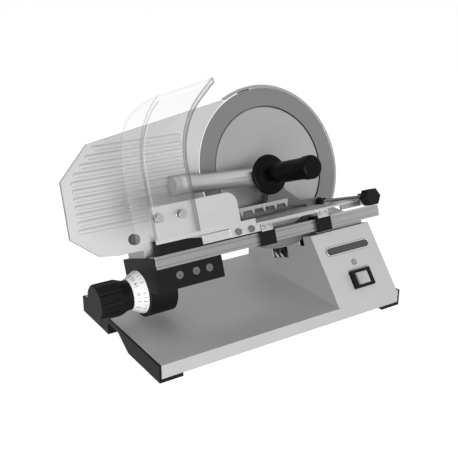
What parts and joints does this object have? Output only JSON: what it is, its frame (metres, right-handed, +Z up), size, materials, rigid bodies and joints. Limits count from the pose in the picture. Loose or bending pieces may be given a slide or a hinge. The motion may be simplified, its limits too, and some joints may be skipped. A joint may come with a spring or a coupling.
{
  "type": "gravity feed slicer",
  "caption": "Small electric food slicer with a leaning round blade, ribbed gauge plate and dial knob, a sliding table with a clear hand guard, and a hinged pusher.",
  "frame": {"origin": "middle of the outer box, on the plane of the feet", "axes": "+X along the guide rail towards the motor tower, +Y from the user to the back, +Z up"},
  "size_m": [0.4566, 0.272, 0.3594],
  "materials": {
    "satin_aluminium": "satin anodised sheet",
    "bright_aluminium": "bright extruded",
    "cast_aluminium": "cast, blasted",
    "blade_steel": "ground",
    "stainless": "satin",
    "plain_steel": "turned",
    "bright_screws": "polished",
    "black_plastic": "moulded",
    "white_plastic": "moulded",
    "pale_plastic": "moulded",
    "lamp_lens": "tinted lens",
    "badge": "dark plate, bare",
    "clear_guard": "clear bent acrylic sheet",
    "rubber": "black",
    "motor_paint": "enamel",
    "capacitor_case": "moulded"
  },
  "bodies": {
    "base": {"base_pan": "satin_aluminium", "cap_left": "black_plastic", "cap_right": "black_plastic", "tower_shell": "satin_aluminium", "badge_plate": "badge", "pilot_lamp": "lamp_lens", "switch_frame": "black_plastic", "guide_rail": "bright_aluminium", "rail_foot": "bright_aluminium", "rail_screws": "plain_steel", "end_bracket": "black_plastic", "bracket_screws": "plain_steel", "belt_case": "cast_aluminium", "case_cover": "cast_aluminium", "case_screws": "plain_steel", "bearing_front": "plain_steel", "bearing_rear": "plain_steel", "motor_body": "motor_paint", "motor_feet": "plain_steel", "capacitor": "capacitor_case", "blade_guard": "bright_aluminium", "blade_cover": "satin_aluminium", "drive_belt": "rubber", "cable_gland": "black_plastic"},
    "blade": {"blade": "blade_steel", "spindle": "plain_steel", "blade_screws": "plain_steel"},
    "rotor": {"motor_pulley": "plain_steel", "motor_fan": "black_plastic"},
    "tie": {"tie_rod": "plain_steel", "tie_knob": "black_plastic"},
    "rocker": {"switch_rocker": "pale_plastic"},
    "gauge": {"gauge_plate": "satin_aluminium", "gauge_slide": "bright_aluminium", "gauge_screws": "plain_steel"},
    "knob": {"knob": "black_plastic", "dial_ring": "white_plastic", "knob_shaft": "plain_steel"},
    "carriage": {"table": "stainless", "carriage_beam": "black_plastic", "table_brackets": "bright_aluminium", "shoes": "black_plastic", "shoe_screws": "plain_steel", "rod_lugs": "bright_aluminium", "pusher_rod": "stainless", "rod_cap": "black_plastic", "shield_plate": "stainless", "shield_screws": "plain_steel", "guard": "clear_guard", "guard_screws": "bright_screws", "guard_bumper": "rubber"},
    "pusher_slide": {"pusher_hub": "black_plastic"},
    "pusher": {"pusher_arm": "plain_steel", "pusher_bar": "stainless", "bar_plug": "pale_plastic", "finger_disc": "black_plastic", "grip": "black_plastic", "pusher_comb": "stainless"}
  },
  "joints": [
    {"name": "blade_spin", "type": "hinge", "parent": "base", "child": "blade", "pos_m": [0.06975, 0.03298, 0.194], "axis": [0, -0.9397, 0.342], "continuous": true},
    {"name": "motor_spin", "type": "hinge", "parent": "base", "child": "rotor", "pos_m": [0.15175, 0.04029, 0.06789], "axis": [0, -0.9397, 0.342], "continuous": true},
    {"name": "tie_knob_turn", "type": "hinge", "parent": "base", "child": "tie", "pos_m": [0.06975, 0.10815, 0.16664], "axis": [0, 0.9397, -0.342], "range_deg": [0, 180]},
    {"name": "switch_rock", "type": "hinge", "parent": "base", "child": "rocker", "pos_m": [0.15375, -0.06938, 0.04698], "axis": [0, -0.6336, -0.7737], "range_deg": [0, 18]},
    {"name": "knob_turn", "type": "hinge", "parent": "base", "child": "knob", "pos_m": [-0.15025, 0.0244, 0.06517], "axis": [1, 0, 0], "range_deg": [0, 330]},
    {"name": "gauge_travel", "type": "slide", "parent": "base", "child": "gauge", "axis": [0, 0.9397, -0.342], "range_m": [0, 0.014]},
    {"name": "carriage_travel", "type": "slide", "parent": "base", "child": "carriage", "axis": [1, 0, 0], "range_m": [-0.125, 0.075]},
    {"name": "pusher_travel", "type": "slide", "parent": "carriage", "child": "pusher_slide", "axis": [0, -0.9397, 0.342], "range_m": [0, 0.075]},
    {"name": "pusher_swing", "type": "hinge", "parent": "pusher_slide", "child": "pusher", "pos_m": [0.12475, -0.00335, 0.1439], "axis": [0, 0.9397, -0.342], "range_deg": [0, 75]}
  ],
  "couplings": [
    {"joint": "motor_spin", "follows": "blade_spin", "ratio": 2.5},
    {"joint": "knob_turn", "follows": "gauge_travel", "rad_per_m": 411.3}
  ]
}
